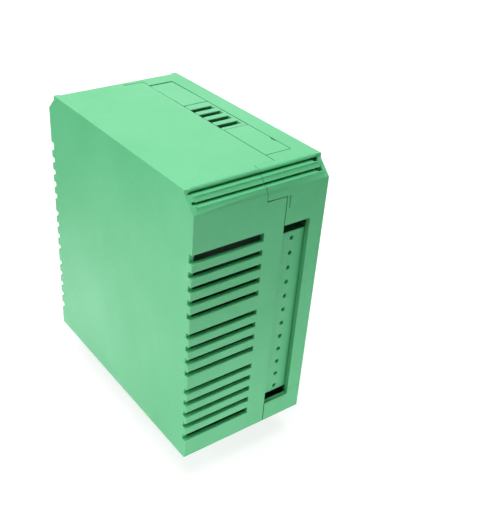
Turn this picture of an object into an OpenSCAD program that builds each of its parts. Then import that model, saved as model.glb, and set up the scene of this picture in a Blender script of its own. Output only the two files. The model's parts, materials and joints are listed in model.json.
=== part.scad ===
// Two-shell plastic enclosure that clips on a 35 mm rail, empty, with its
// blanking plates fitted. Lengths are in millimetres.
// X runs along the rail, Y across it, Z away from it. The origin is the middle
// of the seat that the rail's flanges bear on.

/* [Body] */
// Width along the rail
body_w = 45; // [42:0.5:90]
// Length across the rail
body_l = 82; // [78:0.5:110]
// Height of the closed body, without the foot
body_h = 89.6; // [86:0.2:120]
// Thickness of every outer wall
wall = 1.8; // [1.5:0.1:2.2]

/* [Seam] */
// Width of the right shell, from its face to the seam
right_w = 14.6; // [13:0.1:16]
// How far the seam steps to the left at the stepped corners
corner_step = 6.8; // [4:0.1:9]
// Open gap between the two shells
seam_gap = 0.2; // [0.1:0.05:0.3]
// How far in from each end the seam steps sideways on the top
top_jog = 6.7; // [6:0.1:9]
// How far below the top the seam steps sideways on each end
end_jog = 7.6; // [6:0.1:9]
// Reach of the locating tongue into the right shell
tongue_reach = 1.4; // [0.8:0.1:2.5]

/* [Stepped corner] */
// Distance from the end face back to the edge of the top face
corner_run = 4.3; // [4:0.1:5]
// Height of the lip at the edge of the top face
lip_t = 0.9; // [0.7:0.1:1.1]
// Rise and run of each step
step_pitch = 2.1; // [2:0.05:2.2]
// Open gap above each tread
step_gap = 0.7; // [0.6:0.05:0.8]
// Upright part of each step's nose
nose_face = 0.5; // [0.3:0.1:0.6]
// Depth of each tread, from its nose inwards
tread_depth = 2.7; // [2:0.1:3]
// Width of the open pocket at the right end of each tread
pocket_w = 2.2; // [1:0.1:3]

/* [Side vents] */
// Distance between neighbouring vent slots
vent_pitch = 4.45; // [4.2:0.05:4.5]
// Height of a vent slot
vent_h = 1.9; // [1.2:0.1:2.4]
// Extra height of the uppermost slot
vent_top_extra = 0.95; // [0:0.05:1.2]
// Extra height of the lowest slot
vent_low_extra = 0.55; // [0:0.05:1.2]

/* [Terminal openings] */
// Height of the openings' lower edge above the underside
opening_z = 6.9; // [6:0.1:10]
// Depth of the openings' upper edge below the top
opening_drop = 17; // [15:0.1:22]
// Distance of the openings' right edge from the right face
opening_margin = 5.1; // [4.5:0.1:7]
// Distance between terminal places
pole_pitch = 5; // [4:0.1:5]
// Gap below a blanking plate, inside its opening
plate_low_gap = 2.1; // [1.5:0.1:3]
// Least gap above a blanking plate, inside its opening
plate_top_gap = 2; // [1.5:0.1:3]
// Thickness of a blanking plate
plate_t = 1.6; // [1.2:0.1:2]
// Diameter of a drill mark
mark_d = 1.1; // [0.6:0.1:2]
// Depth of a drill mark
mark_depth = 0.5; // [0.3:0.1:0.8]

/* [Top inserts] */
// Distance of the top opening's right edge from the right face
insert_margin = 5.4; // [4.5:0.1:7]
// Distance of the top opening from each end face
insert_inset = 10.5; // [9:0.1:14]
// Length of the vent comb
comb_l = 21; // [20.6:0.1:26]
// Place of the vent comb's middle along the top, from the centre
comb_y = -0.4; // [-3:0.1:3]
// Distance between the comb's slots
comb_pitch = 4.5; // [4:0.1:4.8]
// Width of a comb slot
comb_slot = 2.2; // [1.2:0.1:2.6]
// Thickness of an insert's skin
insert_t = 1.4; // [1:0.1:1.6]
// Gap around each insert
insert_gap = 0.25; // [0.15:0.05:0.35]

/* [Bosses] */
// Diameter of the bosses that the board would be clamped between
boss_d = 6; // [5:0.1:7]
// Diameter of the pegs that join the shells
peg_d = 2.3; // [1.8:0.1:3]
// Distance of the upper pegs below the top
top_peg_drop = 12.8; // [12:0.1:16]
// Distance of the upper pegs from each end
top_peg_inset = 6.5; // [6:0.1:10]
// Distance of the lower pegs above the underside
low_peg_rise = 9; // [8:0.1:14]
// Distance of the lower pegs from each end
low_peg_inset = 7.5; // [7:0.1:10]
// Thickness of the board that the bosses leave room for
board_t = 1.6; // [1:0.1:2.4]

/* [Foot] */
// Width of the foot along the rail
foot_w = 20.5; // [17:0.5:26]
// Distance of the rail seat below the underside
seat_drop = 5; // [4:0.1:6]
// Distance of the foot's lowest face below the underside
foot_drop = 11.3; // [10.8:0.1:14]
// Width of the rail
rail_w = 35; // [34:0.1:36]
// Thickness of the rail's flange
rail_t = 1; // [0.8:0.1:1.3]
// How far each nose reaches under the flange
nose_grip = 1.8; // [1:0.1:2.2]
// Thickness of the claw walls
claw_t = 1.7; // [1.4:0.1:2]
// Thickness of the latch's base bar
bar_t = 1.4; // [1:0.1:1.8]
// Thickness of the latch's hanger rib
rib_t = 2.4; // [1.8:0.1:2.6]
// Thickness of the pull lug
lug_t = 2.5; // [2:0.1:3]
// Height of the pull lug, bar included
lug_h = 4.6; // [3:0.1:5.5]
// Travel of the latch
latch_travel = 3; // [2:0.1:3.4]

/* [Spring] */
// Outer diameter of the latch spring
spring_d = 5; // [4.4:0.1:5.6]
// Diameter of the spring wire
wire_d = 0.5; // [0.4:0.05:0.6]
// Number of turns
spring_turns = 6.5; // [5:0.5:7]

/* [Hidden] */
$fn = 48;

GREEN = [0.42, 0.80, 0.58];
STEEL = [0.75, 0.76, 0.78];

eps = 0.01;
big = 500;
slip = 0.2;                          // running clearance of pieces that slide or drop in
seat = 0.05;                         // clearance of faces that touch

half_l = body_l / 2;
in_y = half_l - wall;                // inner face of the end walls
in_top = body_h - wall;              // inner face of the top
in_right = body_w - wall;            // inner face of the right side wall
seam_x = body_w - right_w;
right_x = seam_x + seam_gap;         // where the right shell starts
corner_seam_x = seam_x - corner_step;
corner_right_x = corner_seam_x + seam_gap;

// stepped corner, measured from the centre line
top_round = 0.2;                     // slope of the lip's edge on the side walls
first_reach = 1.4;                   // how far the upper nose stands beyond the top's edge
last_rise = 0.3;                     // the lower slope is this much less high than a step
root_l = 2.9;                        // length of the lip
step_clear = 0.1;                    // added to the gap between two steps
end_rim = 0.4;                       // the side walls' slope ends this far from the end face
top_end = half_l - corner_run;       // edge of the top face
lip_z = body_h - lip_t;              // underside of the lip
tread_z = lip_z - step_gap;          // upper tread
nose_y = top_end + first_reach;      // upper step's nose
blade_t = step_pitch - step_gap - step_clear;
tread2_z = tread_z - step_pitch;
nose2_y = nose_y + step_pitch;
shoulder_z = tread2_z - step_pitch + last_rise;
lip_root = top_end - root_l;         // the top is at its full thickness inside this
side_slope_y = half_l - end_rim;
side_slope_z = lip_z - (side_slope_y - top_end - top_round);
nose_clear = 0.4;                    // the pockets stop this far behind the noses

// locating tongue and its rebate
tongue_t = wall / 2 - seat;
tongue_root = 2;                     // overlap of the tongue with its own shell
tongue_end = 1;                      // the bottom tongue stops this far from the end walls
tongue_margin = 0.8;                 // and the end tongues this far from openings and jogs
tongue_fit = 0.15;                   // clearance of the rebate round the tongue

// terminal openings
opening_x = body_w - opening_margin;
opening_top = body_h - opening_drop;
plate_z = opening_z + plate_low_gap;
poles = floor((opening_top - plate_top_gap - plate_z) / pole_pitch);
plate_l = poles * pole_pitch - slip;
plate_y = in_y - slip;               // outer face of a blanking plate
plate_lap = 1.2;                     // how far plates and inserts reach behind the walls
mark_shift = 0.55;                   // the marks stand this far right of the opening's middle

// slit above each opening, which lets the corner spring
slit_w = 0.35;
slit_h = 4;
slit_inset = 1;

// vents
vents = floor((opening_top - vent_top_extra - opening_z - vent_h) / vent_pitch);
outer_vents = round(vents / 3);      // slots in the upper and in the lower group
function vent_rank(k) = k + (k >= outer_vents ? 0.5 : 0) + (k >= vents - outer_vents ? 0.5 : 0);
function vent_top(k) = opening_top - vent_top_extra - vent_pitch * vent_rank(k);

// ribs that hold plates and inserts from behind
keeper_t = 0.9;
keeper_lip = 1;
keeper_slack = 0.15;                 // play of a plate between its wall and the lips
keeper_stop = 1.1;                   // stops above and below a blanking plate
keeper_w = keeper_t + plate_lap;

// inserts
insert_x = body_w - insert_margin;
insert_l = body_l - 2 * insert_inset;
insert_left = seam_x + insert_gap;
insert_right = insert_x - insert_gap;
flange_t = 1.05;
flange_z = in_top - keeper_slack - flange_t;     // underside of the inserts' flanges
web_t = 1;
comb_slots = 4;
comb_spine = 0.9;
comb_shift = -0.85;                  // the slots' middle, from the comb's
comb_lo = comb_y - comb_l / 2;
comb_hi = comb_y + comb_l / 2;
notch_y = -24;                       // lifting notch in the near insert's right edge
notch_l = 2.2;
notch_w = 0.5;

// bosses and pegs
top_peg_y = half_l - top_peg_inset;
top_peg_z = body_h - top_peg_drop;
low_peg_y = half_l - low_peg_inset;
shoulder_x = right_x - board_t - seam_gap;       // where the left bosses stop
peg_bore = peg_d + 2 * seat;
peg_recess = 1.2;                    // upper pegs end this far below the right face
low_peg_l = 8;                       // reach of the lower pegs beyond the seam
bore_end = 0.5;                      // depth left beyond them

// foot
foot_right = seam_x - seam_gap / 2;
foot_left = foot_right - foot_w;
claw_in = rail_w / 2 + slip;
claw_out = claw_in + claw_t;
nose_in = rail_w / 2 - nose_grip;
under_flange = -seat_drop - rail_t - slip;
bar_top = -foot_drop + bar_t;
end_clear = 0.9;                     // the pull lug stops this far inside the end face
rib_room = 3.7;                      // finger room between hanger rib and pull lug
lug_out = half_l - end_clear;
lug_in = lug_out - lug_t;
lug_bevel = 0.5;
rib_out = lug_in - rib_room;
rib_in = rib_out - rib_t;
rib_nose = 0.8;                      // reach of the rib's two stiffening noses
high_nose_h = 1.7;
high_nose_run = 1.3;
low_nose_h = 1;
low_nose_run = 0.8;
low_nose_z = bar_top + 1.3;
seat_w = 3.2;                        // how far the seats reach under the noses
seat_rim = 0.9;
seat_in = nose_in - seat_w;          // inner end of the seats
hook_t = 2.3;
hook_h = 3.2;                        // depth of the fixed hook below the flange
hook_face = 1.4;                     // upright face of its nose
hook_back = 0.4;
claw_face = 2;                       // upright face of the latch's nose
claw_back = 0.6;
stem_inset = 3;
stem_left = foot_left + stem_inset;
stem_right = seam_x - slip;
head_lap = 1.7;                      // overhang of a hanger's head over the bottom wall
head_t = 1.7;
head_z = wall + slip;

// spring and its two seats
spring_rise = 1.6;                   // gap between the spring and the hangers' underside
spring_seat_w = 8;
spring_rim = 0.6;                    // the seats are this much higher than the spring
spring_stop_t = 1.6;
stop_gap = 1.8;                      // gap between the fixed seat and the hanger rib
spring_peg_l = 1.4;
peg_play = 0.3;                      // clearance of the seats' pegs inside the coil
spring_x = (stem_left + stem_right) / 2;
spring_z = head_z + spring_d / 2 + spring_rise;
spring_seat_h = spring_z + spring_d / 2 + spring_rim;
spring_peg_d = spring_d - 2 * wire_d - 2 * peg_play;
spring_end = rib_in - stop_gap - spring_stop_t;  // face of the fixed seat
spring_l = spring_end - claw_out - 2 * seat;     // with the latch closed

// --- helpers ---------------------------------------------------------------

// The body's own coordinates: X from the left face, Z from the underside.
module in_frame() { translate([-body_w / 2, 0, seat_drop]) children(); }

// A profile drawn in Y and Z, carried along X from x0 to x1.
module along_x(x0, x1) {
    rotate([90, 0, 90]) translate([0, 0, x0]) linear_extrude(x1 - x0) children();
}

// A profile drawn in X and Z, carried along Y from y0 to y1.
module along_y(y0, y1) {
    translate([0, y1, 0]) rotate([90, 0, 0]) linear_extrude(y1 - y0) children();
}

module block(lo, hi) { translate(lo) cube(hi - lo); }

module both_ends() { for (s = [0, 1]) mirror([0, s, 0]) children(); }

module rod(x0, x1, d, y, z) { translate([x0, y, z]) rotate([0, 90, 0]) cylinder(d = d, h = x1 - x0); }

// --- body profiles ---------------------------------------------------------

// Half outline of a side wall, up to the stepped corner.
module side_half() {
    polygon([[0, 0], [half_l, 0], [half_l, side_slope_z - end_rim], [side_slope_y, side_slope_z],
             [top_end + top_round, lip_z], [top_end, body_h], [0, body_h]]);
}

module side_profile() { side_half(); mirror([1, 0]) side_half(); }

// One step of the corner: nose, slope and tread.
module step_profile(y, z) {
    slope = blade_t - nose_face;
    polygon([[y - tread_depth, z], [y, z], [y, z - nose_face],
             [y + slope, z - blade_t], [y - tread_depth, z - blade_t]]);
}

// Half of the band that joins the two side walls: bottom, end and top.
module band_half() {
    square([half_l, wall]);
    polygon([[in_y, 0], [half_l, 0], [half_l, shoulder_z], [nose2_y, tread2_z - nose_face],
             [nose2_y, tread2_z], [nose2_y - tread_depth, tread2_z],
             [nose2_y - tread_depth, tread2_z - blade_t], [in_y, tread2_z - blade_t]]);
    polygon([[0, in_top], [lip_root, in_top], [lip_root, lip_z], [top_end, lip_z],
             [top_end, body_h], [0, body_h]]);
    step_profile(nose_y, tread_z);
}

module band_profile() { band_half(); mirror([1, 0]) band_half(); }

// The part of the profile where the seam runs at corner_seam_x.
module corner_zone(grow = 0) {
    for (s = [0, 1]) mirror([s, 0])
        translate([half_l - top_jog - grow, body_h - end_jog - grow]) square([big, big]);
}

// --- shared shell features ---------------------------------------------------

// L-shaped rib that keeps a plate or flange behind a wall: side is 1 when it
// opens towards +X. depth is the room left between the wall and the rib's lip.
module keeper(x, side, depth) {
    mirror([side > 0 ? 0 : 1, 0]) translate([side * x - keeper_w - slip, 0]) {
        square([keeper_t, depth + keeper_lip]);
        translate([0, depth]) square([keeper_w, keeper_lip]);
    }
}

// Keepers of one end's blanking plate, with a stop below and above it.
module end_keepers(x, side) {
    depth = slip + plate_t + keeper_slack;
    stop_hi = plate_z + plate_l + slip;
    stop_lo = plate_z - slip - keeper_stop;
    translate([0, in_y, 0]) mirror([0, 1, 0]) {
        translate([0, 0, stop_lo]) linear_extrude(stop_hi - stop_lo + keeper_stop) keeper(x, side, depth);
        for (z = [stop_lo, stop_hi]) translate([0, 0, z]) linear_extrude(keeper_stop)
            mirror([side > 0 ? 0 : 1, 0]) translate([side * x - keeper_w - slip, 0])
                square([keeper_w, depth + keeper_lip]);
    }
}

// Keepers of the top inserts.
module top_keeper(x, side) {
    along_y(-insert_l / 2, insert_l / 2)
        translate([0, in_top]) mirror([0, 1]) keeper(x, side, flange_t + 2 * keeper_slack);
}

// Tongue of the left shell, and its rebate in the right shell when grown.
module tongue(grow = 0) {
    x0 = seam_x - tongue_root;
    x1 = seam_x + tongue_reach + grow;
    y1 = in_y - tongue_end + grow;
    block([x0, -y1, wall - tongue_t - grow], [x1, y1, wall + grow]);
    both_ends() {
        block([x0, in_y - grow, wall], [x1, in_y + tongue_t + grow, opening_z - tongue_margin + grow]);
        block([x0, in_y - grow, opening_top + tongue_margin - grow],
              [x1, in_y + tongue_t + grow, body_h - end_jog - tongue_margin + grow]);
    }
}

// --- sub-parts ---------------------------------------------------------------

module left_band() {
    along_x(wall - eps, seam_x) difference() { band_profile(); corner_zone(seam_gap); }
    along_x(wall - eps, corner_seam_x) intersection() { band_profile(); corner_zone(seam_gap); }
}

// Slots that run through the end wall and out through the side wall's edge.
module end_vents() {
    for (k = [0 : vents - 1]) {
        top = vent_top(k) + (k == 0 ? vent_top_extra : 0);
        low = vent_top(k) - vent_h - (k == vents - 1 ? vent_low_extra : 0);
        both_ends() block([-eps, in_y - eps, low], [corner_seam_x, half_l + eps, top]);
    }
}

// Seats of both rail flanges and the fixed hook of one side.
module rail_seats() {
    along_x(foot_left, foot_right) {
        polygon([[-seat_in, eps], [-seat_in, -seat_drop], [-claw_in, -seat_drop],
                 [-claw_in, under_flange], [-nose_in, under_flange],
                 [-nose_in, under_flange - hook_face], [hook_back - claw_in, under_flange - hook_h],
                 [-claw_in - hook_t, under_flange - hook_h], [-claw_in - hook_t, eps]]);
        translate([seat_in, -seat_drop]) square([seat_w + seat_rim, seat_drop + eps]);
    }
}

// Room for one hanger of the latch, open at the seam.
module hanger_slot(y, t) {
    block([stem_left - slip, y - slip, -eps], [seam_x + eps, y + t + latch_travel + slip, wall + eps]);
}

module spring_stop() {
    w = spring_seat_w;
    block([spring_x - w / 2, spring_end, wall - eps],
          [spring_x + w / 2, spring_end + spring_stop_t, spring_seat_h]);
    translate([spring_x, spring_end - spring_peg_l, spring_z]) rotate([-90, 0, 0])
        cylinder(d = spring_peg_d, h = spring_peg_l + eps);
}

module left_shell() {
    color(GREEN) in_frame() {
        difference() {
            union() {
                along_x(0, wall) side_profile();
                left_band();
                tongue();
            }
            end_vents();
            hanger_slot(claw_in, claw_t);
            hanger_slot(rib_in, rib_t);
        }
        rail_seats();
        spring_stop();
        top_keeper(seam_x, 1);
        both_ends() {
            end_keepers(seam_x, 1);
            rod(wall - eps, shoulder_x, boss_d, top_peg_y, top_peg_z);
            rod(wall - eps, shoulder_x, boss_d, low_peg_y, low_peg_rise);
            rod(wall, body_w - peg_recess, peg_d, top_peg_y, top_peg_z);
            rod(wall, seam_x + low_peg_l, peg_d, low_peg_y, low_peg_rise);
        }
    }
}

module right_band() {
    along_x(right_x, in_right + eps) difference() { band_profile(); corner_zone(); }
    along_x(corner_right_x, in_right + eps) intersection() { band_profile(); corner_zone(); }
}

// Openings of the tread ends beside the right side wall.
module step_pockets() {
    both_ends() for (k = [0, 1]) {
        y = nose_y + k * step_pitch;
        z = tread_z - k * step_pitch;
        block([in_right - pocket_w, y - tread_depth - eps, z - blade_t - eps],
              [in_right, y - nose_clear, z + eps]);
    }
}

module right_shell() {
    color(GREEN) in_frame() {
        difference() {
            union() {
                along_x(in_right, body_w) side_profile();
                right_band();
                both_ends() {
                    rod(right_x, in_right + eps, boss_d, top_peg_y, top_peg_z);
                    rod(right_x, in_right + eps, boss_d, low_peg_y, low_peg_rise);
                }
            }
            tongue(tongue_fit);
            step_pockets();
            both_ends() {
                block([0, in_y - eps, opening_z], [opening_x, half_l + eps, opening_top]);
                rod(0, body_w + eps, peg_bore, top_peg_y, top_peg_z);
                rod(0, seam_x + low_peg_l + bore_end, peg_bore, low_peg_y, low_peg_rise);
                translate([right_x + slit_inset, in_y - eps, body_h - end_jog - slit_h])
                    cube([slit_w, wall + 2 * eps, slit_h]);
            }
            block([0, -insert_l / 2, in_top - eps], [insert_x, insert_l / 2, body_h + eps]);
        }
        top_keeper(insert_x, -1);
        both_ends() end_keepers(opening_x, -1);
    }
}

// Blanking plate of an end opening, with a drill mark at each terminal place.
module terminal_plate() {
    x0 = seam_x - plate_lap;
    x1 = opening_x + plate_lap;
    mark_x = (seam_x + opening_x) / 2 + mark_shift;
    difference() {
        block([x0, plate_y - plate_t, plate_z], [x1, plate_y, plate_z + plate_l]);
        for (i = [0 : poles - 1])
            translate([mark_x, plate_y + eps, plate_z + plate_l / 2 + pole_pitch * (i - (poles - 1) / 2)])
                rotate([90, 0, 0]) cylinder(d1 = mark_d, d2 = mark_d / 3, h = mark_depth);
    }
}

module near_terminal_plate() { color(GREEN) in_frame() mirror([0, 1, 0]) terminal_plate(); }
module far_terminal_plate() { color(GREEN) in_frame() terminal_plate(); }

// Cross-section of an insert: skin, two webs and two flanges.
module insert_profile() {
    skin_z = body_h - insert_t;
    translate([insert_left, skin_z]) square([insert_right - insert_left, insert_t]);
    for (x = [insert_left, insert_right - web_t])
        translate([x, flange_z]) square([web_t, skin_z - flange_z + eps]);
    translate([insert_left - plate_lap, flange_z]) square([plate_lap + web_t, flange_t]);
    translate([insert_right - web_t, flange_z]) square([plate_lap + web_t, flange_t]);
}

// An insert from y0 to y1, closed at both ends.
module insert(y0, y1) {
    along_y(y0, y1) insert_profile();
    for (y = [y0, y1 - web_t])
        block([insert_left, y, flange_z], [insert_right, y + web_t, body_h - insert_t + eps]);
}

module top_plate_near() {
    color(GREEN) in_frame() difference() {
        insert(-insert_l / 2 + insert_gap, comb_lo - insert_gap / 2);
        block([insert_right - notch_w, notch_y, flange_z + flange_t],
              [insert_right + eps, notch_y + notch_l, body_h + eps]);
    }
}

module top_plate_far() {
    color(GREEN) in_frame() insert(comb_hi + insert_gap / 2, insert_l / 2 - insert_gap);
}

module top_vent_comb() {
    color(GREEN) in_frame() difference() {
        insert(comb_lo + insert_gap / 2, comb_hi - insert_gap / 2);
        for (i = [0 : comb_slots - 1]) {
            y = comb_y + comb_shift + comb_pitch * (i - (comb_slots - 1) / 2);
            block([insert_left - eps, y - comb_slot / 2, flange_z + flange_t],
                  [insert_right - comb_spine, y + comb_slot / 2, body_h + eps]);
        }
    }
}

// Side view of the latch below the body: claw, base bar, hanger rib and pull lug.
module latch_profile() {
    polygon([[claw_in, -slip], [claw_in, under_flange], [nose_in, under_flange],
             [nose_in, under_flange - claw_face], [claw_out - claw_back, -foot_drop],
             [lug_out, -foot_drop], [lug_out, lug_h - foot_drop - lug_bevel],
             [lug_out - lug_bevel, lug_h - foot_drop], [lug_in, lug_h - foot_drop],
             [lug_in, bar_top], [rib_out, bar_top], [rib_out, -slip], [rib_in - rib_nose, -slip],
             [rib_in - rib_nose, -slip - high_nose_h], [rib_in, -slip - high_nose_h - high_nose_run],
             [rib_in, low_nose_z + low_nose_h + low_nose_run], [rib_in - rib_nose, low_nose_z + low_nose_h],
             [rib_in - rib_nose, low_nose_z], [rib_in, bar_top], [claw_out, bar_top],
             [claw_out, -slip]]);
}

// Stem through the bottom wall, with a head that rides on both shells.
module hanger(y, t) {
    block([stem_left, y, -slip - eps], [stem_right, y + t, head_z + eps]);
    block([stem_left - head_lap, y, head_z], [stem_right + head_lap + seam_gap, y + t, head_z + head_t]);
}

module foot_latch() {
    w = spring_seat_w;
    color(GREEN) in_frame() {
        along_x(foot_left, foot_right) latch_profile();
        hanger(claw_in, claw_t);
        hanger(rib_in, rib_t);
        block([spring_x - w / 2, claw_in, head_z], [spring_x + w / 2, claw_out, spring_seat_h]);
        translate([spring_x, claw_out - eps, spring_z]) rotate([-90, 0, 0])
            cylinder(d = spring_peg_d, h = spring_peg_l);
    }
}

// Coil with closed ends: the end turns lie a wire's width apart, the rest is open.
spring_sides = 8;
rings_per_turn = 16;
rings = round(spring_turns * rings_per_turn);
turn_gap = 0.02;
closed_turn = wire_d + turn_gap;
open_turn = (spring_l - wire_d - 2 * closed_turn) / (spring_turns - 2);
function climb(t) =
    t < 1 ? closed_turn * t :
    t < spring_turns - 1 ? closed_turn + open_turn * (t - 1) :
    spring_l - wire_d - closed_turn * (spring_turns - t);
function ring(i) =
    let (t = i / rings_per_turn, a = 360 * t, r = (spring_d - wire_d) / 2)
    [for (j = [0 : spring_sides - 1])
        let (b = 360 * j / spring_sides, q = r + wire_d / 2 * cos(b))
        [q * cos(a), q * sin(a), wire_d / 2 + climb(t) + wire_d / 2 * sin(b)]];

module latch_spring() {
    n = spring_sides;
    points = [for (i = [0 : rings]) each ring(i)];
    sides = [for (i = [0 : rings - 1]) for (j = [0 : n - 1])
        [i * n + j, (i + 1) * n + j, (i + 1) * n + (j + 1) % n, i * n + (j + 1) % n]];
    caps = [[for (j = [0 : n - 1]) j], [for (j = [n - 1 : -1 : 0]) rings * n + j]];
    color(STEEL) in_frame() translate([spring_x, claw_out + seat, spring_z]) rotate([-90, 0, 0])
        polyhedron(points, concat(sides, caps), 8);
}

left_shell();
right_shell();
near_terminal_plate();
far_terminal_plate();
top_plate_near();
top_vent_comb();
top_plate_far();
foot_latch();
latch_spring();
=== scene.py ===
# %% [markdown]
# # A vented rail enclosure, dressed for a picture
#
# The object is an empty moulded housing that clips on a 35 mm rail. Its shapes come from an
# exact CAD model, which is loaded first and never moved. Blender adds what CAD leaves plain:
# the small rounded edges of a moulding, the grain of its plastic, the drawn wire of its spring,
# and a lit studio to see them in.

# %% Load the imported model
import json
import math

import bmesh
import bpy
import numpy as np
from mathutils import Matrix, Vector

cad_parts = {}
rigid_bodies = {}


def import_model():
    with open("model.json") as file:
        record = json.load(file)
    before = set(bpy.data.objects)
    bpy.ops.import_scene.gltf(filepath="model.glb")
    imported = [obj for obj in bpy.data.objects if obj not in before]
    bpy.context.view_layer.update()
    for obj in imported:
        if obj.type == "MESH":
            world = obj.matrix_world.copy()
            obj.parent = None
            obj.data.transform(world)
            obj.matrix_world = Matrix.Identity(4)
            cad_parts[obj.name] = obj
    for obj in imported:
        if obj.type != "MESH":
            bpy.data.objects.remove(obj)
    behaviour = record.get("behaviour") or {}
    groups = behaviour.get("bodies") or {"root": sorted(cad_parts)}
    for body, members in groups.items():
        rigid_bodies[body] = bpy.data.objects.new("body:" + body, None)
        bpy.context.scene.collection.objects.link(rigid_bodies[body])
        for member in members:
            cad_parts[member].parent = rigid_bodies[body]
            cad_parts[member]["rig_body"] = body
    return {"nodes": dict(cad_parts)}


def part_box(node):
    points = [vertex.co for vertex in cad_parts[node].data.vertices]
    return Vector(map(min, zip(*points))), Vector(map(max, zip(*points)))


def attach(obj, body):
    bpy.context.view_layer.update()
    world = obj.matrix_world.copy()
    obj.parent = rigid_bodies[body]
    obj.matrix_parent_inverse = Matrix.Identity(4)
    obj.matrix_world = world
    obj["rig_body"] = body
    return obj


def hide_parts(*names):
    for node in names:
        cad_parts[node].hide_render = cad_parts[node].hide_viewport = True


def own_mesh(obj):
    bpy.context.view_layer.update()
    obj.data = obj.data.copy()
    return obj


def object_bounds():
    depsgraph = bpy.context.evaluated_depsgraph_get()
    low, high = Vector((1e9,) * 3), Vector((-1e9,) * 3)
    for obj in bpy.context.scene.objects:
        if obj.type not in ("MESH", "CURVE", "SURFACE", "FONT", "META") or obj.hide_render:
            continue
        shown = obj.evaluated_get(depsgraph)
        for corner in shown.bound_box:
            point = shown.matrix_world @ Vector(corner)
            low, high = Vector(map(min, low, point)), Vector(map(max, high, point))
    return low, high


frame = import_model()
cad_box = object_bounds()
print("nodes:", ", ".join(sorted(frame["nodes"])))
print("CAD box, mm:", [[round(c * 1000, 1) for c in corner] for corner in cad_box])

# %% [markdown]
# ## Units and main places
#
# The frame is in metres, which makes a 0.2 mm rounding an awkward number to read. One constant
# turns millimetres into metres. The outer faces are measured from the nodes themselves, and each
# finer place gets a name beside the step that uses it.

# %% Units and main places
MM = 0.001
lowest, highest = cad_box
centre = (lowest + highest) / 2
right_lo, right_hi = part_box("right_shell")
print("centre of the object, mm:", [round(c / MM, 1) for c in centre])

# %% [markdown]
# ## Shader maths as plain expressions
#
# A procedural material is arithmetic on fields: noise, positions, masks. Wiring that by hand is
# long, so a small class wraps an output socket and overloads + - * and the power sign. An
# expression such as `1 - mask * 0.5` then adds the Math nodes by itself. Every other node comes
# from one method, `node`, which sets the node's own settings first and its inputs after.


# %% A socket that can be used in expressions
class Field:
    """An output socket of one node tree. Arithmetic on it adds Math nodes and gives a new Field."""

    def __init__(self, tree, socket):
        self.tree = tree
        self.socket = socket

    def node(self, kind, settings=None, inputs=None, output=0):
        """Adds a node of this kind, sets its settings, fills its inputs and gives an output."""
        made = self.tree.nodes.new(kind)
        for name, value in (settings or {}).items():
            setattr(made, name, value)
        for name, value in (inputs or {}).items():
            plug = made.inputs[name]
            if isinstance(value, Field):
                self.tree.links.new(value.socket, plug)
            else:
                plug.default_value = value
        return Field(self.tree, made.outputs[output])

    def maths(self, operation, first, second):
        return self.node("ShaderNodeMath", {"operation": operation}, {0: first, 1: second})

    def __add__(self, other):
        return self.maths("ADD", self, other)

    def __radd__(self, other):
        return self.maths("ADD", other, self)

    def __sub__(self, other):
        return self.maths("SUBTRACT", self, other)

    def __rsub__(self, other):
        return self.maths("SUBTRACT", other, self)

    def __mul__(self, other):
        return self.maths("MULTIPLY", self, other)

    def __rmul__(self, other):
        return self.maths("MULTIPLY", other, self)

    def __pow__(self, other):
        return self.maths("POWER", self, other)


print("a Field knows + - * and **")


# %% [markdown]
# ## A material to fill in
#
# Each finish starts from one Principled shader, and from the object's own coordinates, which are
# metres on an object that sits unturned at the origin. Values that are the same all over the
# surface are set straight on the shader. Only what changes over the surface is a link.


# %% Start a material
def new_material(name, constants):
    """A material with one Principled shader: gives it, its shader and its position Field."""
    material = bpy.data.materials.new(name)
    material.use_nodes = True
    tree = material.node_tree
    shader = tree.nodes["Principled BSDF"]
    for socket, value in constants.items():
        shader.inputs[socket].default_value = value
    coordinates = tree.nodes.new("ShaderNodeTexCoord")
    return material, shader, Field(tree, coordinates.outputs["Object"])


def link_finish(shader, colour, roughness, height, strength, depth):
    """Links a colour, a roughness and a relief of this height field and depth to a shader."""
    relief = {"Height": height, "Strength": strength, "Distance": depth}
    bumped = height.node("ShaderNodeBump", None, relief)
    links = height.tree.links
    links.new(colour.socket, shader.inputs["Base Color"])
    links.new(roughness.socket, shader.inputs["Roughness"])
    links.new(bumped.socket, shader.inputs["Normal"])


print("a material starts from one Principled shader")


# %% Noise and colour
def noise(place, scale, detail=3.0, roughness=0.5):
    """Fractal noise from 0 to 1 with this many cells per metre."""
    inputs = {"Vector": place, "Scale": scale, "Detail": detail, "Roughness": roughness}
    return place.node("ShaderNodeTexNoise", {"noise_dimensions": "3D"}, inputs, "Fac")


def mix_colours(mask, first, second):
    """first where the mask is 0, second where it is 1. A Mix node has a set of sockets for each
    kind of data, and these are the numbers of its colour set."""
    factor, colour_0, colour_1, mixed = 0, 6, 7, 2
    settings = {"data_type": "RGBA", "clamp_factor": True}
    inputs = {factor: mask, colour_0: first, colour_1: second}
    return mask.node("ShaderNodeMix", settings, inputs, mixed)


def srgb(code):
    """The linear colour of a six-figure code, with 1 as its fourth number."""
    parts = np.array([int(code[i:i + 2], 16) / 255 for i in (0, 2, 4)])
    linear = np.where(parts <= 0.04045, parts / 12.92, ((parts + 0.055) / 1.055) ** 2.4)
    return (*linear.tolist(), 1.0)


def grey(value):
    """A neutral colour, with 1 as its fourth number."""
    return (value, value, value, 1)


print("mid green in linear light:", [round(c, 3) for c in srgb("6FCB97")])

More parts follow.
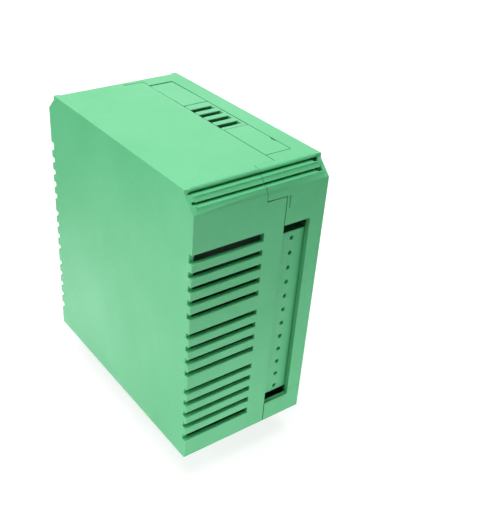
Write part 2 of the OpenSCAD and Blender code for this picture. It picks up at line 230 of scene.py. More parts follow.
# %% [markdown]
# ## The moulded plastic
#
# The housing is moulded in one pale green, coloured through, with the fine dull grain that an
# etched mould leaves. Four fields make it. A very large, faint noise stands for the slightly
# uneven colour of a pigmented melt. A fine noise at about a third of a millimetre is the mould's
# grain, and drives a shallow bump and the roughness. A middle one, slightly stretched along the
# way that the plastic ran into the mould, breaks up a wide flat wall. The last is written on the
# mesh itself: a face attribute that is 1 on the rounded edges, which are painted paler and made
# smoother than the walls, partly as the wear of hands and partly as a painted highlight. A second
# attribute is 1 on the faces inside the housing and a half on the left-facing walls of the slots
# in the ends, and paints a dark green there as painted shade, so that the slots look into the dark.


# %% Measures of the plastic
# Wear and a painted highlight: 1 on the rounded edges.
WEAR_AND_HIGHLIGHT = "edge_wear_and_painted_highlight"      # face attribute, 1 on the rounded edges
# Painted shade: 1 on the faces inside, a half on the left-facing walls of the end's slots.
INSIDE_SHADE = "painted_inner_shade"       # face attribute, 1 on the faces inside the housing
CLOUD_SCALE, FLOW_SCALE, DUST_SCALE, GRAIN_SCALE = 34, 190, 900, 2600    # cells per metre
FLOW_STRETCH = 0.45
TINT_LOW, TINT_HIGH = 0.36, 0.64    # the part of the noise's range that is really reached
# The paler green is wear and a painted highlight on the edges; the darker one is painted shade.
WEAR_AND_HIGHLIGHT_GREEN, INSIDE_SHADE_GREEN = "9CE3B8", "2D7246"
GRAIN_DEPTH = 0.05 * MM
print("one cell of the mould's grain, mm:", round(1 / GRAIN_SCALE / MM, 2))


# %% Green plastic
def green_plastic(name, colour, deeper, flow_axis):
    """Matte moulded plastic whose flow marks run along one axis, with worn edges painted paler as a
    highlight, and painted shade on its inner faces. Its tone is a weighted sum of three noises,
    and its roughness follows the grain and the cloud."""
    material, shader, place = new_material(name, {"Specular IOR Level": 0.5, "IOR": 1.5})
    stretch = [1.0, 1.0, 1.0]
    stretch[flow_axis] = FLOW_STRETCH
    along = place.node("ShaderNodeMapping", None, {"Vector": place, "Scale": stretch})
    cloud = noise(place, CLOUD_SCALE, 3)
    flow = noise(along, FLOW_SCALE, 3)
    grain = noise(place, GRAIN_SCALE, 2, 0.6)
    dust = noise(place, DUST_SCALE, 4, 0.6)
    wear_and_highlight = place.node("ShaderNodeAttribute", {"attribute_name": WEAR_AND_HIGHLIGHT}, None, "Fac")
    inside_shade = place.node("ShaderNodeAttribute", {"attribute_name": INSIDE_SHADE}, None, "Fac")
    tint = cloud * 0.6 + flow * 0.15 + dust * 0.25
    tint_range = {"Value": tint, "From Min": TINT_LOW, "From Max": TINT_HIGH}
    spread = tint.node("ShaderNodeMapRange", None, tint_range)
    base = mix_colours(spread, srgb(colour), srgb(deeper))
    # Painted highlight and wear: the rounded edges mix towards a paler green.
    base = mix_colours(wear_and_highlight * (0.1 + dust * 0.3), base, srgb(WEAR_AND_HIGHLIGHT_GREEN))
    # Painted shade: the inside and the left-facing walls of the slots mix towards a dark green.
    base = mix_colours(inside_shade, base, srgb(INSIDE_SHADE_GREEN))
    rough = 0.44 + (grain - 0.5) * 0.14 + (cloud - 0.5) * 0.1 - wear_and_highlight * 0.08
    height = grain * 0.7 + dust * 0.3
    link_finish(shader, base, rough, height, 0.16, GRAIN_DEPTH)
    return material


# %% The four shots of plastic
# The colour of each, its deeper tone, and the axis that its flow marks run along.
SHOTS = {
    "shell_plastic": ("66CC90", "5CC486", 2),
    "plate_plastic": ("68CC92", "5EC588", 2),
    "insert_plastic": ("69CD92", "5FC688", 1),
    "foot_plastic": ("64CA8E", "5AC284", 1),
}
plastics = {name: green_plastic(name, *values) for name, values in SHOTS.items()}
print("plastics:", *plastics)

# %% [markdown]
# ## Trimming tools
#
# A few forms of the mouldings are finer than the CAD solids need: the lip of the top has a
# rounded edge, the side walls are thinned where the steps meet them, and the drill marks are
# straight blind holes. Each is cut from a copy by a closed prism or peg, which is a profile
# carried along one axis. All the tools of one piece are joined in one mesh and taken away by one
# exact Boolean.


# %% Prisms and pegs
def prism(profile, start, end, axis=0):
    """A closed prism: the profile's points, counter-clockwise in the two other axes, at start
    and again at end, with side walls between neighbours and a cap on each."""
    outline = np.array(profile, float)
    count = len(outline)
    points = np.insert(np.tile(outline, (2, 1)), axis, np.repeat([start, end], count), axis=1)
    near = np.arange(count)
    far = np.roll(near, -1)
    walls = np.stack([near, far, far + count, near + count], 1).tolist()
    caps = [near[::-1].tolist(), (near + count).tolist()]
    return points * MM, walls + caps


def rectangle(low, high):
    """The corners of a rectangle, counter-clockwise."""
    return [(low[0], low[1]), (high[0], low[1]), (high[0], high[1]), (low[0], high[1])]


def circle(middle, radius, sides=24):
    """Points on a circle, counter-clockwise."""
    angle = np.linspace(0, 2 * np.pi, sides, endpoint=False)
    return np.stack([middle[0] + radius * np.cos(angle), middle[1] + radius * np.sin(angle)], 1)


def both_ends(profile):
    """A profile in Y and Z and its mirror image at the other end."""
    mirrored = [(-y, z) for y, z in reversed(list(map(tuple, profile)))]
    return [profile, mirrored]


def carve(mesh, tools):
    """Takes all the tools away from a mesh, and gives the new mesh."""
    points = np.concatenate([t[0] for t in tools])
    starts = np.cumsum([0] + [len(t[0]) for t in tools[:-1]])
    faces = [[i + int(start) for i in face] for t, start in zip(tools, starts) for face in t[1]]
    tool_mesh = bpy.data.meshes.new("tools")
    tool_mesh.from_pydata(points.tolist(), [], faces)
    scrap = bmesh.new()
    scrap.from_mesh(tool_mesh)
    bmesh.ops.recalc_face_normals(scrap, faces=scrap.faces)
    scrap.to_mesh(tool_mesh)
    scrap.free()
    pair = [bpy.data.objects.new("blank", mesh), bpy.data.objects.new("tools", tool_mesh)]
    for each in pair:
        bpy.context.scene.collection.objects.link(each)
    cut = pair[0].modifiers.new("cut", "BOOLEAN")
    cut.operation, cut.solver, cut.object = "DIFFERENCE", "EXACT", pair[1]
    cut.use_self = True
    ready = pair[0].evaluated_get(bpy.context.evaluated_depsgraph_get())
    carved = bpy.data.meshes.new_from_object(ready)
    for each in pair:
        bpy.data.objects.remove(each)
    bpy.data.meshes.remove(tool_mesh)
    return carved


print("a prism's faces:", len(prism(rectangle((0, 0), (1, 1)), 0, 1)[1]))

# %% [markdown]
# ## The forms to trim
#
# The places below are in millimetres in the model's own frame. The corner's steps are two blades
# under the lip of the top; each blade has a tread, a nose and a slope. Between the blades lie the
# dark gaps, which run into the side walls. Both ends of the housing are alike, so every profile
# in Y and Z is cut twice.

# %% Places of the corner
TOP = highest.z / MM
SIDE = right_hi.x / MM
END = highest.y / MM
INNER_FACE = SIDE - 1.8    # of the side walls
LIP_EDGE = END - 4.3
LIP_RADIUS = 0.8
SLOPE = [(LIP_EDGE, TOP), (LIP_EDGE + 0.15, TOP - 1.3), (END - 0.3, TOP - 5.1), (END, TOP - 5.4)]
GAPS = (    # lower edge, upper edge and inner end of the upper gap and of the lower one
    (TOP - 1.6, TOP - 0.9, LIP_EDGE - 2.9),
    (TOP - 3.7, TOP - 2.9, LIP_EDGE - 1.3),
)
NOSES = ((LIP_EDGE + 1.4, TOP - 1.6), (LIP_EDGE + 3.5, TOP - 3.7))
POCKET = ((-2.72, -1.32), (-0.42, 0.1))    # two corners of a pocket, from the tip of its nose
GROOVE = (14.4, 14.55)    # a fine parting line across the right margin of each end
GROOVE_DEPTH = 0.12
GROOVE_START = right_lo.x / MM + 14
print("lip edge at y =", round(LIP_EDGE, 2), "and the side walls' inner faces at x =", INNER_FACE)

# %% Reach of the tools
# A tool passes the outer faces by a millimetre. Where two tools overlap, each passes the inner
# face by an amount of its own, because an exact Boolean can go wrong at a plane that they share.
PAST = 1.0
COVE_LAP, SLOPE_LAP, GAP_LAP, POCKET_LAP = 0.02, 0.03, 0.05, 0.06
LEFT_LIP_END, RIGHT_LIP_START = 9, -5    # beyond the seam, where each shell's lip ends
LEFT_SKIN, RIGHT_SKIN = 0.9, 1.2         # wall that is left outside a gap or pocket
print("walls left outside the gaps, mm:", LEFT_SKIN, "and", RIGHT_SKIN)


# %% Tools for the two shells
def lip_cove(x0, x1):
    """Leaves a quarter round on the lip's edge: a corner less a circle's quarter."""
    angle = np.linspace(np.pi / 2, 0, 9)
    arc = [(LIP_EDGE - LIP_RADIUS + LIP_RADIUS * math.cos(a),
            TOP - LIP_RADIUS + LIP_RADIUS * math.sin(a)) for a in angle]
    profile = [(LIP_EDGE + PAST, TOP + PAST), (LIP_EDGE - LIP_RADIUS, TOP + PAST)] + arc
    profile.append((LIP_EDGE + PAST, TOP - LIP_RADIUS))
    return [prism(p, x0, x1) for p in both_ends(profile)]


def wall_slope(x0, x1):
    """Lowers the slope of a side wall, so that the blades stand a little proud of it."""
    foot = SLOPE[-1][1]
    profile = [(LIP_EDGE, TOP + PAST)] + SLOPE + [(END + PAST, foot), (END + PAST, TOP + PAST)]
    return [prism(p, x0, x1) for p in both_ends(profile)]


def wall_gaps(x0, x1):
    """Runs the two gaps between the blades on into a side wall."""
    profiles = [rectangle((start, low), (END + PAST, high)) for low, high, start in GAPS]
    return [prism(p, x0, x1) for profile in profiles for p in both_ends(profile)]


def wall_pockets(x0, x1):
    """Runs the open pockets behind the noses on into the right side wall."""
    (back, down), (front, up) = POCKET
    profiles = [rectangle((y + back, z + down), (y + front, z + up)) for y, z in NOSES]
    return [prism(p, x0, x1) for profile in profiles for p in both_ends(profile)]


def end_groove(x0, x1):
    """A shallow groove across the outer face of each end."""
    profile = rectangle((END - GROOVE_DEPTH, GROOVE[0]), (END + PAST, GROOVE[1]))
    return [prism(p, x0, x1) for p in both_ends(profile)]


left_tools = lip_cove(-INNER_FACE - COVE_LAP, LEFT_LIP_END)
left_tools += wall_slope(-SIDE - PAST, -INNER_FACE + SLOPE_LAP)
left_tools += wall_gaps(-SIDE + LEFT_SKIN, -INNER_FACE + GAP_LAP)
right_tools = lip_cove(RIGHT_LIP_START, INNER_FACE + COVE_LAP)
right_tools += wall_slope(INNER_FACE - SLOPE_LAP, SIDE + PAST)
right_tools += wall_gaps(INNER_FACE - GAP_LAP, SIDE - RIGHT_SKIN)
right_tools += wall_pockets(INNER_FACE - POCKET_LAP, SIDE - RIGHT_SKIN)
right_tools += end_groove(GROOVE_START, SIDE + PAST)
print("tools:", len(left_tools), "and", len(right_tools))

# %% [markdown]
# ## Rounded edges
#
# A mould never gives a knife edge. The CAD solids have sharp edges, and a sharp edge catches no
# light, which is what makes a plain model look like paper. A CAD node stays as it is, so each
# moulding gets a visible copy. The copy's loose triangles are merged, flat neighbours are
# dissolved into whole faces, and an edge is rounded by a small true radius where the faces beside
# it leave room for it. The new faces are marked for the material, which paints them paler, as
# wear and as a painted highlight.


# %% Copy a node and move its faces
WELD = 0.004 * MM          # points that are closer are one point
SAME_PLACE = 0.015 * MM    # a point this close to a place lies at it
FLAT_ANGLE = math.radians(1)


def tidy(mesh):
    """Joins doubles and dissolves flat neighbours into whole faces."""
    built = bmesh.new()
    built.from_mesh(mesh)
    bmesh.ops.remove_doubles(built, verts=built.verts, dist=WELD)
    bmesh.ops.dissolve_degenerate(built, edges=built.edges, dist=WELD)
    bmesh.ops.dissolve_limit(built, angle_limit=FLAT_ANGLE, use_dissolve_boundaries=False,
                             verts=built.verts, edges=built.edges)
    built.to_mesh(mesh)
    built.free()


def merged_copy(node):
    """A copy of a CAD node whose triangles are joined and whose flat parts are whole faces."""
    mesh = frame["nodes"][node].data.copy()
    tidy(mesh)
    return mesh


def shift(mesh, axis, place, to, where=None):
    """Moves the points that lie at this distance from the middle along one axis, on both sides
    or, with a where, only those that it picks. Flat faces stay flat."""
    points = np.empty(len(mesh.vertices) * 3)
    mesh.vertices.foreach_get("co", points)
    points = points.reshape(-1, 3)
    chosen = np.abs(np.abs(points[:, axis]) - place * MM) < SAME_PLACE
    if where is not None:
        chosen &= where(points / MM)
    points[chosen, axis] = np.sign(points[chosen, axis]) * to * MM
    mesh.vertices.foreach_set("co", points.ravel())
    mesh.update()
    print(f"  {int(chosen.sum())} points moved from {place:.2f} to {to:.2f} mm")


print("a copy joins points closer than", round(WELD / MM, 3), "mm")

# %% Round the edges that have room
SHARP_ANGLE = math.radians(25)
SHORTEST = 3.0    # shortest edge that is rounded, in radii
ROOM = 2.2        # nearest other corner, in radii
SEGMENTS = 3


def sharp(edge):
    """True where two faces meet at an outside corner that is not nearly flat."""
    return (len(edge.link_faces) == 2 and edge.is_convex
            and edge.calc_face_angle(0) > SHARP_ANGLE)


def roomy(edge, radius):
    """True where no other corner of the two faces beside an edge lies too close to the edge."""
    if edge.calc_length() < SHORTEST * radius:
        return False
    start, along = np.array(edge.verts[0].co), np.array(edge.verts[1].co - edge.verts[0].co)
    others = np.array([v.co for f in edge.link_faces for v in f.verts if v not in edge.verts])
    share = np.clip((others - start) @ along / (along @ along), 0, 1)
    away = np.linalg.norm(others - start - share[:, None] * along, axis=1)
    return away.min() > ROOM * radius


def round_edges(mesh, radius, keep=None):
    """Rounds the sharp edges that keep picks and that have room, and marks the new faces."""
    built = bmesh.new()
    built.from_mesh(mesh)
    mark = built.faces.layers.float.get(WEAR_AND_HIGHLIGHT) or built.faces.layers.float.new(WEAR_AND_HIGHLIGHT)
    edges = [e for e in built.edges if sharp(e) and (keep is None or keep(e)) and roomy(e, radius)
             and not any(f[mark] for f in e.link_faces)]
    made = bmesh.ops.bevel(built, geom=edges, offset=radius, offset_type="OFFSET",
                           segments=SEGMENTS, profile=0.5, affect="EDGES", clamp_overlap=False)
    for face in made["faces"]:
        face[mark] = 1.0
    built.to_mesh(mesh)
    built.free()
    print(f"  {len(edges)} edges rounded by {radius / MM:.2f} mm")


print("an edge needs room for its radius")

# %% Mark the faces inside the housing for painted shade
BOTTOM = 5.0                         # underside of the housing, above the foot
SKIN = 1.3                           # a face deeper than this belongs to the inside
STEPS_BACK, STEPS_DOWN = 3.0, 6.0    # room of the steps, from the lip's edge and the top
END_FACE = 39.5                      # inner face of the end walls
SHELL_DEPTH, PLATE_DEPTH = 39.7, 38.5    # what counts as inside, along Y


def mark_inside_shade(mesh, end_limit):
    """Writes a mask of painted shade: 1 on each face whose middle lies inside the walls, and a
    half on the left-facing edges of the slots and openings. The steps stay as they are."""
    middles, normals = np.empty((2, len(mesh.polygons) * 3))
    mesh.polygons.foreach_get("center", middles)
    mesh.polygons.foreach_get("normal", normals)
    x, y, z = middles.reshape(-1, 3).T / MM
    x, y = np.abs(x), np.abs(y)
    inside_shade = (x < SIDE - SKIN) & (y < end_limit) & (z > BOTTOM + SKIN) & (z < TOP - SKIN)
    inside_shade &= ~((y > LIP_EDGE - STEPS_BACK) & (z > TOP - STEPS_DOWN))
    in_end_wall = (y > END_FACE) & (y < END - 0.05) & (z < TOP - STEPS_DOWN) & (x < SIDE - 1)
    # Painted shade: the left-facing walls of the slots in the ends get a half.
    reveal_shade = (normals[::3] < -0.9) & in_end_wall
    layer = mesh.attributes.new(INSIDE_SHADE, "FLOAT", "FACE")
    layer.data.foreach_set("value", np.where(reveal_shade, 0.5, inside_shade).astype(np.float32))
    print(f"  {int(inside_shade.sum())} faces inside")


print("the inside starts", SKIN, "mm below the outer faces")

# %% Put a moulding in a node's place
SMOOTH_ANGLE = math.radians(40)


def moulding(node, mesh, material, end_limit=SHELL_DEPTH):
    """Puts a finished mesh in the place of a CAD node, on the node's own body."""
    mark_inside_shade(mesh, end_limit)
    piece = bpy.data.objects.new(node + "_moulded", mesh)
    mesh.name = piece.name
    bpy.context.scene.collection.objects.link(piece)
    mesh.materials.clear()
    mesh.materials.append(material)
    mesh.shade_smooth()
    mesh.set_sharp_from_angle(angle=SMOOTH_ANGLE)
    steady = piece.modifiers.new("flat faces stay flat", "WEIGHTED_NORMAL")
    steady.keep_sharp = True
    steady.weight = 100
    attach(piece, frame["nodes"][node]["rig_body"])
    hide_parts(node)
    print(f"{piece.name}: {len(mesh.polygons)} faces")


print("a moulding rides on the body of the node that it replaces")

# %% Tell the edges apart
SEAM_PLACES = (7.9, 8.18, 1.1, 1.3, 17.1)    # the seam, its jog over the steps, the opening
OPENING_END = 30.5
TOUCHING = 0.05


def at_seam(edge):
    """True for an edge that lies in the seam or round the opening of the top."""
    xs = [v.co.x / MM for v in edge.verts]
    ys = [abs(v.co.y) / MM for v in edge.verts]
    level = any(max(abs(x - place) for x in xs) < TOUCHING for place in SEAM_PLACES)
    across = max(abs(y - OPENING_END) for y in ys) < TOUCHING
    return level or across


def in_corner(edge):
    """True for an edge among the steps of a corner, which stay crisp."""
    return all(abs(v.co.y) / MM > LIP_EDGE - STEPS_BACK - 0.2 and v.co.z / MM > TOP - STEPS_DOWN
               for v in edge.verts)


def plain_edge(edge):
    """The other edges."""
    return not at_seam(edge) and not in_corner(edge)


def seam_edge(edge):
    """The seam's own edges, below the steps."""
    return at_seam(edge) and not in_corner(edge)


print("the seam is looked for at x =", SEAM_PLACES)

# %% Mould the shells
# Each move is an axis, an old and a new distance from the middle in mm, and which points move.
LEFT_MOVES = (
    (1, 39.2, END_FACE),                            # inner face of the end walls
    (1, 34.1, 34.25, lambda p: p[:, 1] < 0),        # the near jog of the seam closes
    (1, 34.1, 33.95, lambda p: p[:, 1] > 0),        # the far jog opens
)
RIGHT_MOVES = (
    (1, 39.2, END_FACE),
    (0, 8.1, 8.18),                                 # the seam opens
    (0, 18.5, 19.5, lambda p: np.abs(p[:, 1]) > 33),    # left ends of the noses' pockets
    (2, 11.9, 12.4, lambda p: np.abs(p[:, 1]) > 39),    # lower edge of the end openings
)
SHELL_RADIUS, SEAM_RADIUS = 0.25 * MM, 0.1 * MM


def shell(node, moves, tools):
    """A shell with thinner end walls, its fine forms cut and its edges rounded."""
    mesh = merged_copy(node)
    for move in moves:
        shift(mesh, *move)
    mesh = carve(mesh, tools)
    tidy(mesh)
    round_edges(mesh, SHELL_RADIUS, plain_edge)
    round_edges(mesh, SEAM_RADIUS, seam_edge)
    moulding(node, mesh, plastics["shell_plastic"])


shell("left_shell", LEFT_MOVES, left_tools)
shell("right_shell", RIGHT_MOVES, right_tools)

# %% [markdown]
# ## Plates, inserts and latch
#
# The blanking pieces are separate mouldings in the same plastic. Each gets its own variant of
# the plastic, a shade apart, as separate shots from a machine are. The end plates get their row
# of blind drill marks, and the comb's bars get a rounder edge than the rest.


# %% Mould the end plates
MARKS, MARK_PITCH = 12, 5.0
MARK_RADIUS, MARK_DEPTH = 0.75, 0.7
MARK_SHIFT = 0.55     # the row of marks stands right of the plate's middle
PLATE_LIFT = 0.45     # the plate's lower edge is higher than the solid's
PLATE_RADIUS = 0.2 * MM


def end_plate(node):
    """A blanking plate with blind marks at the terminals' places."""
    low, high = (np.array(c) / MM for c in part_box(node))
    outer = max(abs(low[1]), abs(high[1]))
    side = 1 if high[1] > 0 else -1
    heights = (low[2] + high[2]) / 2 + MARK_PITCH * (np.arange(MARKS) - (MARKS - 1) / 2)
    middle = (low[0] + high[0]) / 2 + MARK_SHIFT
    mesh = merged_copy(node)
    shift(mesh, 2, low[2], low[2] + PLATE_LIFT)
    span = sorted((side * (outer - MARK_DEPTH), side * (outer + PAST)))
    rings = [circle((middle, z), MARK_RADIUS)[::-1] for z in heights]
    mesh = carve(mesh, [prism(ring, *span, axis=1) for ring in rings])
    tidy(mesh)
    round_edges(mesh, PLATE_RADIUS, lambda e: e.calc_length() > 1 * MM)
    moulding(node, mesh, plastics["plate_plastic"], PLATE_DEPTH)


for plate in ("near_terminal_plate", "far_terminal_plate"):
    end_plate(plate)

# %% Mould the inserts and the latch
INSERT_MOVES = (
    (0, 8.15, 8.27),      # the gap at the seam
    (0, 16.85, 16.78),    # the gap at the right
)
FAR_MOVES = (
    (1, 30.25, 30.0),     # the far insert stops short of the opening's end
    (2, TOP, TOP - 0.15, lambda p: p[:, 1] > 29.9),    # and sits lower there
)
INSERT_RADIUS, BAR_RADIUS, LATCH_RADIUS = 0.12 * MM, 0.3 * MM, 0.25 * MM


def insert(node, moves, *radii):
    """A piece of the top opening, with its gaps opened a little. Each radius rounds the edges
    that have room for it, the largest first."""
    mesh = merged_copy(node)
    for move in moves:
        shift(mesh, *move)
    for radius in radii:
        round_edges(mesh, radius)
    moulding(node, mesh, plastics["insert_plastic"])


insert("top_plate_near", INSERT_MOVES, INSERT_RADIUS)
insert("top_vent_comb", INSERT_MOVES, BAR_RADIUS, INSERT_RADIUS)
insert("top_plate_far", INSERT_MOVES + FAR_MOVES, INSERT_RADIUS)
latch_mesh = merged_copy("foot_latch")
round_edges(latch_mesh, LATCH_RADIUS)
moulding("foot_latch", latch_mesh, plastics["foot_plastic"])

# %% [markdown]
# ## The latch spring
#
# The spring is drawn steel wire. The CAD coil is faceted, and a drawn wire is round, so the
# visible coil is swept again from its formula: a circle carried along a helix whose ends are
# closed. Its size is read from the CAD node's box.


# %% Sweep the spring
WIRE, TURNS = 0.5 * MM, 6.5
END_CLIMB = 1.04    # what the helix climbs in its first and last turn, in wires


def coil(box, wire, turns, ring=16, steps=40):
    """A wire of round section on a helix along Y. The helix climbs about one wire a turn at each
    end, and evenly between. Each ring of the grid is a circle across the helix's path."""
    low, high = (np.array(corner) for corner in box)
    radius = (high[0] - low[0] - wire) / 2
    middle = (low + high) / 2
    count = int(turns * steps) + 1
    turn = np.linspace(0, turns, count)
    length = high[1] - low[1] - wire
    closed = wire * END_CLIMB
    pitch = (length - 2 * closed) / (turns - 2)
    heights = [0, closed, closed + pitch * (turns - 2), length]
    climb = np.interp(turn, [0, 1, turns - 1, turns], heights)
    angle = 2 * np.pi * turn
    path = np.stack([radius * np.cos(angle), climb, -radius * np.sin(angle)], 1)
    outward = np.stack([np.cos(angle), 0 * angle, -np.sin(angle)], 1)
    along = np.gradient(path, axis=0)
    along /= np.linalg.norm(along, axis=1, keepdims=True)
    across = np.cross(along, outward)
    round_angle = np.linspace(0, 2 * np.pi, ring, endpoint=False)
    rim = (np.cos(round_angle)[None, :, None] * outward[:, None, :]
           + np.sin(round_angle)[None, :, None] * across[:, None, :])
    points = path[:, None, :] + rim * wire / 2
    points += np.array([middle[0], low[1] + wire / 2, middle[2]])
    return points


def grid_faces(rows, columns):
    """Quads between neighbouring rows of a grid that closes on itself across its columns."""
    start = (np.arange(rows - 1)[:, None] * columns + np.arange(columns)[None, :]).ravel()
    column = np.tile(np.arange(columns), rows - 1)
    step = np.where(column == columns - 1, 1 - columns, 1)
    return np.stack([start, start + columns, start + columns + step, start + step], 1)


print("the spring has", TURNS, "turns of", round(WIRE / MM, 2), "mm wire")

# %% Make the spring's mesh
spring_points = coil(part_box("latch_spring"), WIRE, TURNS)
rows, columns = spring_points.shape[:2]
quads = grid_faces(rows, columns).tolist()
caps = [list(range(columns)), list(range(rows * columns - 1, (rows - 1) * columns - 1, -1))]
spring_mesh = bpy.data.meshes.new("latch_spring_wire")
spring_mesh.from_pydata(spring_points.reshape(-1, 3).tolist(), [], quads + caps)
smooth = np.array([True] * len(quads) + [False] * len(caps))
spring_mesh.polygons.foreach_set("use_smooth", smooth)
spring = bpy.data.objects.new("latch_spring_wire", spring_mesh)
bpy.context.scene.collection.objects.link(spring)
print("spring:", len(quads), "faces")


# %% [markdown]
# ## Drawn steel
#
# Drawing pulls the wire through a die and leaves fine scratches along it, and a light oil keeps
# it bright. Noise stretched across the coil's axis stands for the scratches. The spring sits
# between the latch and a fixed seat of the housing, so it rides on the housing.


# %% Spring steel
def spring_steel():
    """Bright drawn wire with fine marks."""
    material, shader, place = new_material("spring_steel_wire", {"Metallic": 1.0})
    along = place.node("ShaderNodeMapping", None, {"Vector": place, "Scale": [1.0, 6.0, 1.0]})
    marks = noise(along, 1800, 3)
    stain = noise(place, 500, 2)
    base = mix_colours(stain, srgb("C9CBCE"), srgb("A9ACB1"))
    link_finish(shader, base, 0.24 + marks * 0.16, marks, 0.2, 0.02 * MM)
    return material


spring_mesh.materials.append(spring_steel())
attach(spring, "housing")
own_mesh(spring)
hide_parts("latch_spring")

# %% [markdown]
# ## Camera
#
# The view is a three-quarter one from above. The camera stands close, so that the verticals
# run together downwards, and it is rolled by a few degrees, as a hand-held camera is.

# %% Camera
AIM = Vector((2.9, -8.3, 42.2)) * MM
AZIMUTH, ELEVATION, DISTANCE, ROLL = 35.65, 33.77, 257.0 * MM, 2.6
LENS, SHIFT_X, SHIFT_Y = 55.86, 0.0823, 0.0509


def camera_place(azimuth, elevation, distance):
    """A point at this distance from the aim, azimuth 0 being in front of the near end."""
    a, e = math.radians(azimuth), math.radians(elevation)
    way = Vector((-math.sin(a) * math.cos(e), -math.cos(a) * math.cos(e), math.sin(e)))
    return AIM + distance * way


camera = bpy.data.objects.new("camera", bpy.data.cameras.new("camera"))
bpy.context.scene.collection.objects.link(camera)
camera.data.lens = LENS
camera.data.shift_x, camera.data.shift_y = SHIFT_X, SHIFT_Y
camera.data.clip_start, camera.data.clip_end = 0.01, 20
eye = camera_place(AZIMUTH, ELEVATION, DISTANCE)
turn = (AIM - eye).to_track_quat("-Z", "Y").to_matrix().to_4x4()
camera.matrix_world = Matrix.Translation(eye) @ turn @ Matrix.Rotation(math.radians(ROLL), 4, "Z")
bpy.context.scene.camera = camera
print("camera at", [round(c / MM, 1) for c in eye], "mm")

# %% [markdown]
# ## Floor and world
#
# The floor is a plain pale sheet that is white to the camera and keeps the soft shadow under the
# object. In a gloss it shows two pools of light, such as windows throw on a table, and is dim
# elsewhere, so that a wall has a sheen near its foot and keeps its colour higher up. The world
# is white to the camera too, and gives only a little light of its own.


# %% What a ray sees
def rays(tree):
    """Two Fields: 1 for a ray from the camera, and 1 for one sent on by a gloss or by glass."""
    path = tree.nodes.new("ShaderNodeLightPath")
    gloss = Field(tree, path.outputs["Is Glossy Ray"])
    glass = Field(tree, path.outputs["Is Transmission Ray"])
    return Field(tree, path.outputs["Is Camera Ray"]), gloss + glass


def clamped(field):
    """The field, held between 0 and 1."""
    return field.node("ShaderNodeClamp", None, {"Value": field})


def pool(place, middle, spread):
    """1 in the middle of a pool of light on the floor, falling off as a bell curve does."""
    split = place.node("ShaderNodeSeparateXYZ", None, {"Vector": place})
    x, y = split, Field(split.tree, split.socket.node.outputs["Y"])
    far = (x - middle[0] * MM) ** 2 + (y - middle[1] * MM) ** 2
    return far.maths("EXPONENT", far * (-0.5 / (spread * MM) ** 2), 0)


print("a pool of light is a bell curve on the floor")

# %% Floor
FLOOR_Z = lowest.z - 0.2 * MM
FLOOR_REACH = 3.0
floor_mesh = bpy.data.meshes.new("floor")
square = rectangle((-FLOOR_REACH, -FLOOR_REACH), (FLOOR_REACH, FLOOR_REACH))
floor_mesh.from_pydata([(x, y, FLOOR_Z) for x, y in square], [], [(0, 1, 2, 3)])
floor = bpy.data.objects.new("floor", floor_mesh)
bpy.context.scene.collection.objects.link(floor)
print("floor at z =", round(FLOOR_Z / MM, 2), "mm")

# %% Finish of the floor
SHEET, LIT_SHEET = grey(0.82), grey(0.35)       # what the lamps light, and with the glow on it
NEAR_GLOW, FAR_GLOW = grey(0.8), grey(1)        # to the camera, at the object and far from it
DIM_GLOSS, POOL_GLOSS = grey(0.2), grey(1.9)    # in a gloss, beside the pools and in them
NEAR_SPREAD = 200
LEFT_POOL, LEFT_SPREAD = (-58, 62), 62          # beside the long left wall
END_POOL, END_SPREAD = (0, -76), 42             # before the near end


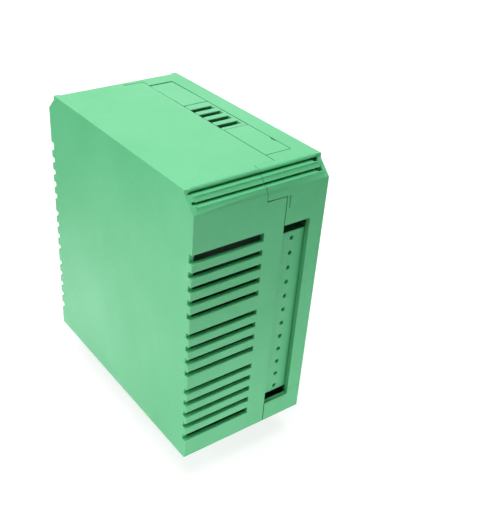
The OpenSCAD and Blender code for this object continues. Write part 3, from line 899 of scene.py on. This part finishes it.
def floor_finish():
    """A pale sheet for the light, white with a soft shadow for the camera, and pools of light
    on a dim ground for a gloss."""
    material = bpy.data.materials.new("pale_sheet")
    material.use_nodes = True
    tree = material.node_tree
    tree.nodes.remove(tree.nodes["Principled BSDF"])
    camera_ray, gloss_ray = rays(tree)
    place = Field(tree, tree.nodes.new("ShaderNodeTexCoord").outputs["Object"])
    pools = pool(place, LEFT_POOL, LEFT_SPREAD) + pool(place, END_POOL, END_SPREAD) * 0.5
    mirrored = mix_colours(pools, DIM_GLOSS, POOL_GLOSS)
    white_sheet = mix_colours(pool(place, (0, 0), NEAR_SPREAD), FAR_GLOW, NEAR_GLOW)
    glow_colour = mix_colours(camera_ray, mirrored, white_sheet)
    sheet = place.node("ShaderNodeBsdfDiffuse", None, {"Color": SHEET})
    glow = place.node("ShaderNodeEmission", None, {"Color": glow_colour, "Strength": 1.0})
    lit = place.node("ShaderNodeBsdfDiffuse", None, {"Color": LIT_SHEET})
    white = place.node("ShaderNodeAddShader", None, {0: lit, 1: glow})
    shown = place.node("ShaderNodeMixShader", None, {0: camera_ray, 1: glow, 2: white})
    seen = clamped(camera_ray + gloss_ray)
    both = seen.node("ShaderNodeMixShader", None, {0: seen, 1: sheet, 2: shown})
    tree.links.new(both.socket, tree.nodes["Material Output"].inputs["Surface"])
    return material


floor_mesh.materials.append(floor_finish())
print("finish of the floor:", floor_mesh.materials[0].name)

# %% World
AMBIENT = 0.1
world = bpy.data.worlds.new("studio")
bpy.context.scene.world = world
world.use_nodes = True
background = world.node_tree.nodes["Background"]
camera_ray, gloss_ray = rays(world.node_tree)
strength = AMBIENT + clamped(camera_ray + gloss_ray) * (1 - AMBIENT)
world.node_tree.links.new(strength.socket, background.inputs["Strength"])
background.inputs["Color"].default_value = grey(1)
print("world strength", AMBIENT, "and 1 to the camera")

# %% [markdown]
# ## Lamps
#
# The brightest face is the top, the long side comes next and the vented end is the darkest. One
# broad lamp overhead does the top. A window at the left lifts the long side and leaves the slots
# of the end in shade. A weak window behind, on the right, puts a faint gloss on the top and
# rounds the far edges. A small, weak lamp low before the end faces upwards, as light thrown back
# by a pale table does, and keeps the plate and the undersides of the slots readable.


# %% Lamps
def lamp(name, place, size, power, towards=None, in_gloss=False):
    """A square area lamp that looks at the middle of the object, or at a place given in mm."""
    light = bpy.data.lights.new(name, "AREA")
    light.size = size
    light.energy = power
    holder = bpy.data.objects.new(name, light)
    bpy.context.scene.collection.objects.link(holder)
    where = Vector(place) * MM
    goal = centre if towards is None else Vector(towards) * MM
    aim = (goal - where).to_track_quat("-Z", "Y").to_matrix().to_4x4()
    holder.matrix_world = Matrix.Translation(where) @ aim
    holder.visible_camera = False
    holder.visible_glossy = in_gloss


# Each lamp's place is in mm, its size in metres and its power in watts.
lamp("overhead", (-60, -20, 620), 0.5, 3.15)
lamp("left_window", (-620, 60, 260), 0.5, 2.0)
lamp("back_window", (330, 470, 420), 0.6, 0.6, in_gloss=True)
lamp("table_before_the_end", (0, -136, -6), 0.17, 0.11, towards=(0, -136, 100))

# %% [markdown]
# ## Finish
#
# The view transform stays Standard, so a colour renders about as it is written.

# %% Finish
bpy.context.scene.view_settings.view_transform = "Standard"
